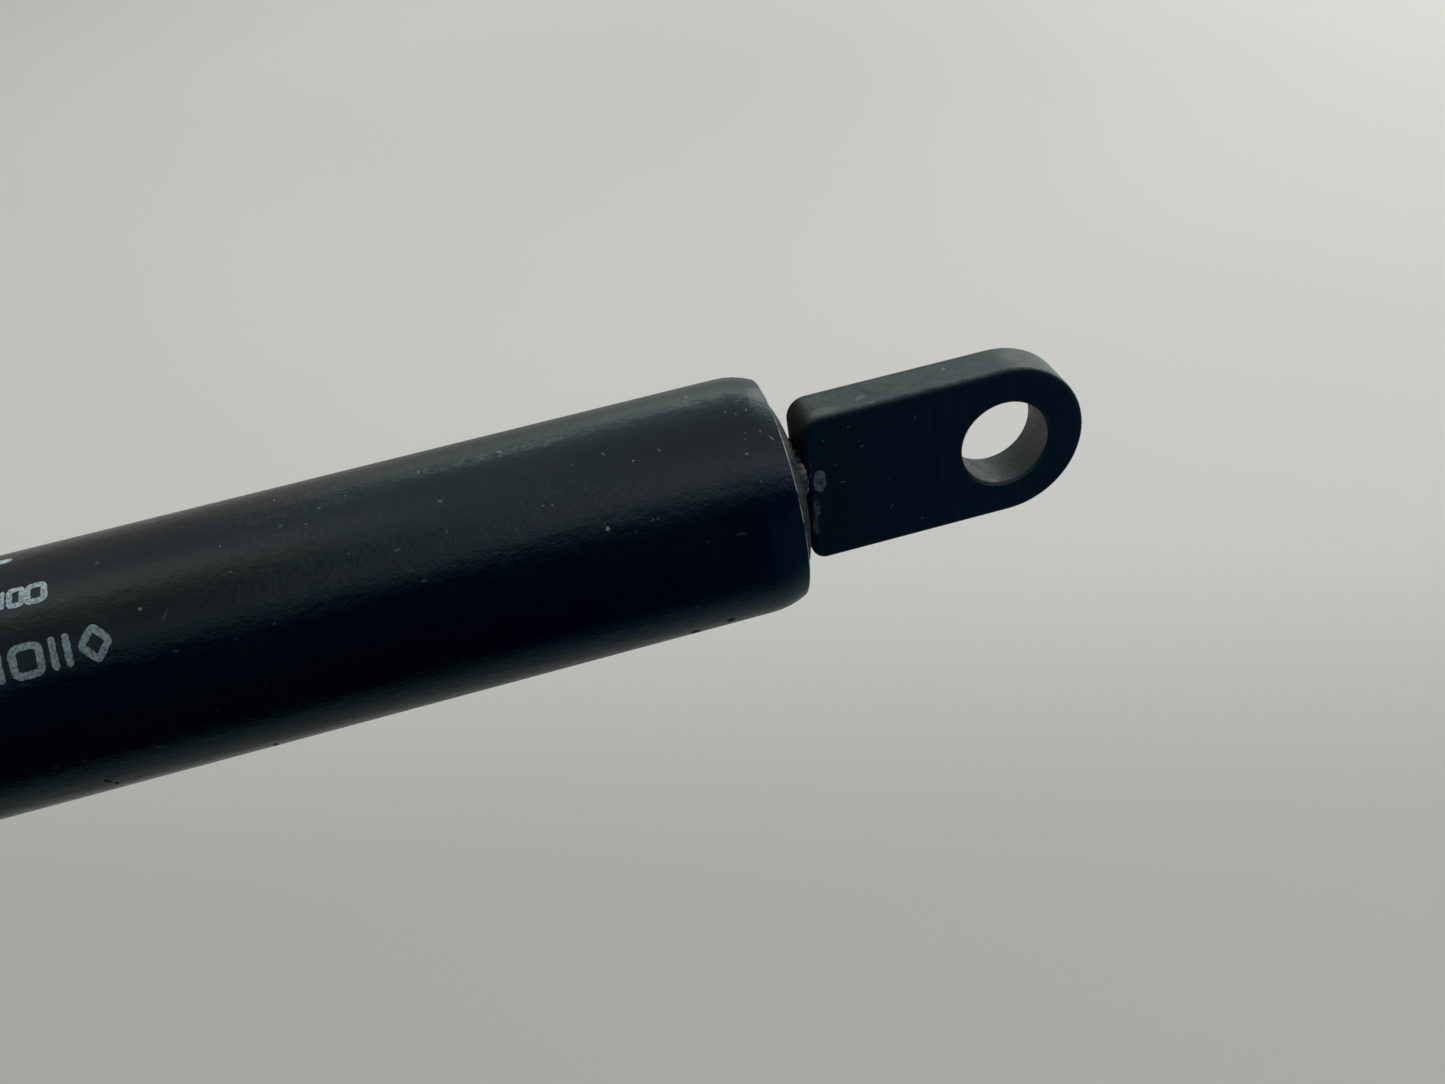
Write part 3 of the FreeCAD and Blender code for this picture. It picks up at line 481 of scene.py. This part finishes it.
def chrome():
    made, g, shader = material("rod_chrome")
    place, x, y, z = coords(g)
    ground = g.noise(g.vmath("MULTIPLY", place, (1.0, 0.05, 0.05)), 6000.0, 3.0, 0.6)
    drawn = g.noise(g.vmath("MULTIPLY", place, (0.02, 1.0, 1.0)), 5000.0, 2.0, 0.5)
    cloud = g.noise(place, 120.0, 3.0, 0.6)
    base = g.mix(g.step(cloud, 0.3, 0.7), (0.56, 0.575, 0.59), (0.63, 0.64, 0.65))
    base = g.mix(g.mul(g.step(drawn, 0.66, 0.72), 0.35), base, (0.34, 0.35, 0.36))
    g.put(shader.inputs["Base Color"], base)
    shader.inputs["Metallic"].default_value = 1.0
    g.put(shader.inputs["Roughness"], g.math("MULTIPLY_ADD", ground, 0.07, g.mul(cloud, 0.08)))
    normal = g.bump(ground, 0.0000006)
    normal = g.bump(drawn, 0.0000006, normal)
    g.put(shader.inputs["Normal"], normal)
    return made


EYE_SPOTS = {
    "light": [
        (-15.85, 0.45, 0.38, 0.10, -0.05, 0.8),
        (-14.86, 6.06, 0.16, 0.14, 0.0, 0.8),
        (-17.28, 5.28, 0.15, 0.12, 0.0, 0.6),
        (-16.42, 2.47, 0.14, 0.12, 0.0, 0.6),
        (-8.61, 5.24, 0.09, 0.46, 0.0, 0.5),
        (-11.42, -3.57, 0.12, 0.34, -0.6, 0.7),
        (-8.59, -5.81, 0.15, 0.15, 0.0, 0.9),
        (-11.48, -0.41, 0.09, 0.24, 0.3, 0.25),
    ],
    "warm": [(-13.75, 3.73, 0.24, 0.14, 0.1, 1.0), (-13.95, 4.35, 0.10, 0.22, 0.0, 0.5)],
    "bare": [(-17.97, 1.19, 0.72, 1.35, 0.0, 1.0)],
    "rusty": [(-18.55, -1.9, 0.42, 1.7, 0.0, 1.0), (-18.9, -3.6, 0.35, 1.2, 0.0, 0.8), (-18.75, 2.6, 0.18, 1.3, 0.0, 0.5)],
    "top": [(-16.6, -1.3, 1.5, 0.7, 0.1, 0.28), (3.4, 0.4, 2.6, 1.6, 0.0, 0.22), (-13.0, -0.6, 0.75, 0.38, 0.4, 0.42), (-4.6, 0.68, 0.28, 0.17, 0.5, 0.9), (-12.3, -1.9, 0.35, 0.14, 0.2, 0.6)],
}

paint = tube_paint()
front_eye = eye_paint("eye_paint", EYE_SPOTS)
back_eye = eye_paint("eye_paint_rod", None)
bead = weld()
plug = plug_steel()
rubber = plain("seal_rubber", (0.010, 0.010, 0.011), (0.022, 0.022, 0.023), 0.0, 0.55, 0.2, 1500.0, 0.000006)
brass = plain("guide_brass", (0.55, 0.36, 0.13), (0.70, 0.50, 0.22), 1.0, 0.22, 0.18, 1200.0, 0.000002, (1.0, 0.15, 0.15))
bright_steel = plain("bright_steel", (0.40, 0.41, 0.41), (0.55, 0.56, 0.56), 1.0, 0.25, 0.2, 1800.0, 0.000003, (1.0, 0.1, 0.1))
alloy = plain("piston_alloy", (0.52, 0.53, 0.55), (0.68, 0.69, 0.70), 1.0, 0.28, 0.2, 1500.0, 0.000003, (1.0, 0.1, 0.1))
ptfe = plain("ring_plastic", (0.045, 0.040, 0.036), (0.080, 0.070, 0.060), 0.0, 0.38, 0.15, 900.0, 0.000004)
rod = chrome()

for name, made in {
    "pressure_tube": paint,
    "end_plug": plug,
    "end_plug_o_ring": rubber,
    "tube_eye": front_eye,
    "tube_eye_weld": bead,
    "rod_guide": brass,
    "guide_o_ring": rubber,
    "rod_wiper": rubber,
    "rod_seal": rubber,
    "seal_support_ring": bright_steel,
    "piston_rod": rod,
    "stop_washer": bright_steel,
    "piston_spring_washer": bright_steel,
    "throttle_disc": bright_steel,
    "piston": alloy,
    "piston_ring": ptfe,
    "backing_washer": bright_steel,
    "piston_nut": bright_steel,
    "rod_eye": back_eye,
    "rod_eye_weld": bead,
}.items():
    dress(name, made)


# ---------------------------------------------------------------- generic ink marks on the tube
def ink():
    made, g, shader = material("marking_ink")
    place, x, y, z = coords(g)
    blot = g.noise(place, 3900.0, 5.0, 0.78)
    cloud = g.noise(place, 900.0, 3.0, 0.6)
    base = g.mix(g.step(blot, 0.38, 0.58), (0.20, 0.25, 0.28), (0.66, 0.75, 0.82))
    base = g.mix(g.mul(g.step(cloud, 0.5, 0.75), 0.30), base, (0.26, 0.31, 0.33))
    around = g.mul(g.math("ARCTAN2", z, g.mul(y, -1.0)), 11.0)
    worn = g.step(around, 12.4, 10.4)
    base = g.mix(g.mul(worn, 0.30), base, (0.020, 0.030, 0.040))
    g.put(shader.inputs["Base Color"], base)
    g.put(shader.inputs["Roughness"], g.math("MULTIPLY_ADD", blot, 0.3, 0.5))
    g.put(shader.inputs["Normal"], g.bump(blot, 0.00002))
    return made


def ink_marks():
    """Rows of plain printed shapes on the tube: square rings, bars and dashes, each a thin film of ink."""
    rng = random.Random(7)
    verts, faces = [], []
    inner, outer = 10.985, 11.018

    def stroke(points, width, closed):
        """A ribbon of ink along points (x, s) in mm."""
        dense = []
        count = len(points)
        for i in range(count if closed else count - 1):
            a, b = Vector(points[i]), Vector(points[(i + 1) % count])
            steps = max(1, round((b - a).length / 0.14))
            dense += [a.lerp(b, k / steps) for k in range(steps)]
        if not closed:
            dense.append(Vector(points[-1]))
        n = len(dense)
        rows = []
        for i, p in enumerate(dense):
            before = dense[(i - 1) % n] if closed or i else p
            after = dense[(i + 1) % n] if closed or i < n - 1 else p
            run = (after - before).normalized()
            side = Vector((-run.y, run.x))
            end = 1.0
            if not closed:
                gap = min((p - dense[0]).length, (p - dense[-1]).length) / (width * 0.5)
                end = math.sqrt(max(0.12, 1 - (1 - min(gap, 1.0)) ** 2))
            half_a = width / 2 * end * (1 + rng.uniform(-0.14, 0.14))
            half_b = width / 2 * end * (1 + rng.uniform(-0.14, 0.14))
            rows.append((p + side * half_a, p - side * half_b))
        start = len(verts)
        for left, right in rows:
            for q, r in ((left, inner), (left, outer), (right, outer), (right, inner)):
                turn = q.y / 11.0
                verts.append((q.x * MM, -r * math.cos(turn) * MM, r * math.sin(turn) * MM))
        spans = n if closed else n - 1
        for i in range(spans):
            a, b = start + 4 * i, start + 4 * ((i + 1) % n)
            for k in range(4):
                m = (k + 1) % 4
                faces.append((a + k, a + m, b + m, b + k))
        if not closed:
            faces.append((start + 3, start + 2, start + 1, start))
            last = start + 4 * (n - 1)
            faces.append((last, last + 1, last + 2, last + 3))

    def ring(x, s, w, h, width, cut=0.28):
        c = min(w, h) * cut
        corners = [(x, s), (x + w, s), (x + w, s + h), (x, s + h)]
        if cut >= 0.5:
            corners = [(x + w / 2, s), (x + w, s + h / 2), (x + w / 2, s + h), (x, s + h / 2)]
            c = 0.35
        points = []
        for i, corner in enumerate(corners):
            corner, before, after = Vector(corner), Vector(corners[i - 1]), Vector(corners[(i + 1) % 4])
            a = corner + (before - corner).normalized() * c
            b = corner + (after - corner).normalized() * c
            for k in range(6):
                t = k / 5
                points.append(a * (1 - t) ** 2 + corner * 2 * t * (1 - t) + b * t**2)
        stroke(points, width, True)

    def bar(x0, s0, x1, s1, width):
        stroke([(x0, s0), (x1, s1)], width, False)

    # Large row, 3 mm high, repeated away from the eye.
    x = -78.6
    pattern = ["diamond", "bars", "square", "bar", "diamond", "square"]
    for i in range(22):
        kind = pattern[i % len(pattern)]
        w = {"diamond": 2.2, "square": 2.1, "bar": 0.5, "bars": 1.5}[kind]
        x -= w
        s = 6.75
        if kind == "diamond":
            ring(x, s, w, 2.75, 0.60, 0.5)
        elif kind == "square":
            ring(x, s + 0.2, w, 2.3, 0.60, 0.30)
        elif kind == "bar":
            bar(x + 0.25, s, x + 0.25, s + 2.75, 0.58)
        else:
            bar(x + 0.2, s, x + 0.2, s + 2.75, 0.56)
            bar(x + 1.3, s, x + 1.3, s + 2.75, 0.56)
        x -= 0.85
    # Small row above it.
    x = -83.1
    for i in range(26):
        w = 1.35 if i == 0 else 1.0 if i % 3 else 0.55
        x -= w
        if i == 0:
            ring(x, 12.95, w, 1.6, 0.54, 0.34)
        elif i % 3 == 0:
            bar(x, 13.75, x + w, 13.75, 0.36)
        elif i % 3 == 1:
            ring(x, 13.0, w, 1.6, 0.46, 0.30)
        else:
            bar(x + 0.15, 12.9, x + 0.15, 14.7, 0.36)
            bar(x + 0.85, 12.9, x + 0.85, 14.7, 0.36)
        x -= 0.42
    # A dashed line near the top of the tube.
    x = -86.3
    for i in range(18):
        w = 2.4 if i % 4 == 0 else 1.5 if i % 4 < 3 else 0.6
        x -= w
        bar(x, 19.25, x + w, 19.25, 0.9)
        x -= 0.55

    mesh = bpy.data.meshes.new("ink_marks")
    mesh.from_pydata(verts, [], faces)
    mesh.validate()
    mesh.update()
    obj = bpy.data.objects.new("ink_marks", mesh)
    scene.collection.objects.link(obj)
    mesh.materials.append(ink())
    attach(obj, "cylinder")


ink_marks()


# ---------------------------------------------------------------- studio: one pale seamless sweep with painted shade on it, soft light from above and behind
def sweep():
    rings, verts, faces = 96, [], []
    profile = [(0.0, 0.0), (0.6, 0.0), (1.2, 0.0), (2.0, 0.0), (3.0, 0.0), (3.8, 0.04), (4.5, 0.2), (5.1, 0.55), (5.5, 1.1), (5.75, 1.9), (5.85, 3.0), (5.85, 4.5)]
    floor = -0.55
    cx, cy = -0.2, 0.0
    for radius, height in profile[1:]:
        for k in range(rings):
            a = 2 * math.pi * k / rings
            verts.append((cx + radius * math.cos(a), cy + radius * math.sin(a), floor + height))
    centre = len(verts)
    verts.append((cx, cy, floor))
    for k in range(rings):
        faces.append((centre, k, (k + 1) % rings))
    for r in range(len(profile) - 2):
        for k in range(rings):
            a, b = r * rings + k, r * rings + (k + 1) % rings
            faces.append((a, a + rings, b + rings, b))
    mesh = bpy.data.meshes.new("sweep")
    mesh.from_pydata(verts, [], faces)
    mesh.update()
    for p in mesh.polygons:
        p.use_smooth = True
    obj = bpy.data.objects.new("sweep", mesh)
    scene.collection.objects.link(obj)
    made, g, shader = material("pale_sweep")
    place = g.node("TexCoord").outputs["Object"]
    tone = g.noise(place, 2.2, 2.0, 0.5)
    split = g.node("SeparateXYZ", {0: place})
    # Painted shadow: the floor is darker on its near side, towards the camera and under the strut.
    near = g.step(g.math("MULTIPLY_ADD", split.outputs[0], 0.35, split.outputs[1]), 0.42, 0.80)
    pale = g.mix(tone, (0.845, 0.794, 0.775), (0.875, 0.820, 0.800))
    # Painted shade: a round patch of the floor, within 0.95 m of (0.45, 1.9) m, is dimmed by up to 11 % to tone down
    # the light's hot spot there.
    dimmed_hot_spot = g.step(g.vmath("LENGTH", g.vmath("SUBTRACT", g.vec(split.outputs[0], split.outputs[1]), (0.45, 1.9, 0.0))), 0.95, 0.0)
    pale = g.mix(g.mul(dimmed_hot_spot, 0.11), pale, (0.0, 0.0, 0.0))
    g.put(shader.inputs["Base Color"], g.mix(near, (0.645, 0.607, 0.588), pale))
    shader.inputs["Roughness"].default_value = 0.9
    shader.inputs["Specular IOR Level"].default_value = 0.0
    mesh.materials.append(made)
    obj.visible_glossy = False
    obj.visible_diffuse = False
    obj.visible_shadow = False


def area(name, place, aim, size, power, colour=(1.0, 1.0, 1.0)):
    data = bpy.data.lights.new(name, "AREA")
    data.shape = "RECTANGLE"
    data.size, data.size_y = size
    data.energy = power
    data.color = colour
    obj = bpy.data.objects.new(name, data)
    scene.collection.objects.link(obj)
    obj.location = place
    obj.rotation_mode = "QUATERNION"
    obj.rotation_quaternion = (Vector(aim) - Vector(place)).to_track_quat("-Z", "Y")
    obj.visible_glossy = False
    obj.visible_camera = False
    return obj


# Soft studio surroundings as one gradient: dark behind the camera, bright behind and above the object.
# Each row is the angle up from the -Y horizon over the top, in degrees, and the light from there.
LEFT = [
    (-180, (0.28, 0.27, 0.23)), (-144, (0.36, 0.38, 0.36)), (-107, (0.14, 0.16, 0.14)), (-82, (0.11, 0.15, 0.15)), (-70, (0.05, 0.10, 0.11)), (-56, (0.00, 0.00, 0.00)),
    (30, (0.00, 0.00, 0.00)), (38, (0.10, 0.17, 0.16)), (54, (0.25, 0.30, 0.23)), (67, (0.13, 0.14, 0.10)), (80, (0.22, 0.21, 0.14)),
    (92, (0.52, 0.52, 0.44)), (104, (0.82, 0.91, 0.82)), (117, (0.38, 0.43, 0.35)), (130, (0.31, 0.35, 0.27)), (142, (0.27, 0.28, 0.23)),
    (158, (0.26, 0.21, 0.18)),
]
MIDDLE = [
    (-180, (0.27, 0.28, 0.24)), (-107, (0.16, 0.18, 0.16)), (-82, (0.09, 0.13, 0.14)), (-70, (0.03, 0.08, 0.09)), (-58, (0.00, 0.00, 0.00)),
    (30, (0.00, 0.00, 0.00)), (38, (0.04, 0.10, 0.09)), (50, (0.37, 0.46, 0.45)), (67, (0.29, 0.42, 0.34)), (80, (0.45, 0.64, 0.50)),
    (92, (0.43, 0.57, 0.48)), (112, (0.36, 0.44, 0.40)), (130, (0.39, 0.45, 0.43)), (142, (0.42, 0.54, 0.48)), (151, (0.73, 0.84, 0.76)),
    (168, (0.32, 0.36, 0.32)),
]
RIGHT = [
    (-180, (0.32, 0.35, 0.31)), (-107, (0.13, 0.16, 0.15)), (-82, (0.09, 0.14, 0.15)), (-70, (0.02, 0.09, 0.11)), (-58, (0.00, 0.00, 0.04)),
    (24, (0.00, 0.00, 0.04)), (36, (0.07, 0.12, 0.16)), (46, (0.29, 0.40, 0.41)), (62, (0.62, 0.69, 0.75)), (80, (0.41, 0.45, 0.49)),
    (98, (0.34, 0.37, 0.38)), (118, (0.36, 0.41, 0.40)), (133, (0.39, 0.48, 0.44)), (142, (0.49, 0.60, 0.55)), (154, (0.95, 1.10, 1.03)),
    (170, (0.41, 0.46, 0.43)),
]


def surroundings():
    world = bpy.data.worlds.new("studio")
    scene.world = world
    world.use_nodes = True
    g = Graph(world.node_tree)
    out = g.node("OutputWorld")
    back = g.node("Background")
    g.tree.links.new(back.outputs[0], out.inputs[0])
    split = g.node("SeparateXYZ", {0: g.node("TexCoord").outputs["Generated"]})
    angle = g.math("ARCTAN2", split.outputs[2], g.mul(split.outputs[1], -1.0))
    turn = g.math("MULTIPLY_ADD", angle, 0.5 / math.pi, 0.5)

    def ramp(rows):
        made = g.node("ValToRGB", {"Fac": turn})
        stops = made.color_ramp
        rows = rows + [(180, rows[0][1])]
        while len(stops.elements) < len(rows):
            stops.elements.new(0.5)
        for element, (degrees, colour) in zip(stops.elements, rows):
            element.position = (degrees + 180) / 360
            element.color = (*colour, 1.0)
        return made.outputs[0]

    window = [
        (degrees, tuple(min(2.2, c * (2.3 if degrees > 130 or degrees < -150 else 1.0)) for c in colour))
        for degrees, colour in RIGHT
    ]
    left_to_middle = g.step(split.outputs[0], -0.21, -0.05)
    middle_to_right = g.step(split.outputs[0], -0.05, 0.12)
    right_to_window = g.step(split.outputs[0], 0.35, 0.50)
    colour = g.mix(middle_to_right, g.mix(left_to_middle, ramp(LEFT), ramp(MIDDLE)), g.mix(right_to_window, ramp(RIGHT), ramp(window)))
    # A faint cool glow low in front of the eye's end.
    low_front = g.mul(g.step(turn, 0.29, 0.36), g.step(turn, 0.56, 0.48))
    glow = g.mul(low_front, g.step(split.outputs[0], 0.12, 0.30))
    lit = g.node("VectorMath", {0: colour, 1: g.vmath("MULTIPLY", g.vec(glow, glow, glow), (0.018, 0.062, 0.112))}, operation="ADD").outputs["Vector"]
    g.put(back.inputs["Color"], lit)
    back.inputs["Strength"].default_value = 1.0


sweep()
surroundings()
area("key", (2.5, 2.3, 2.2), (0.3, 0.8, -0.55), (2.4, 2.4), 62.5)

bpy.context.view_layer.update()
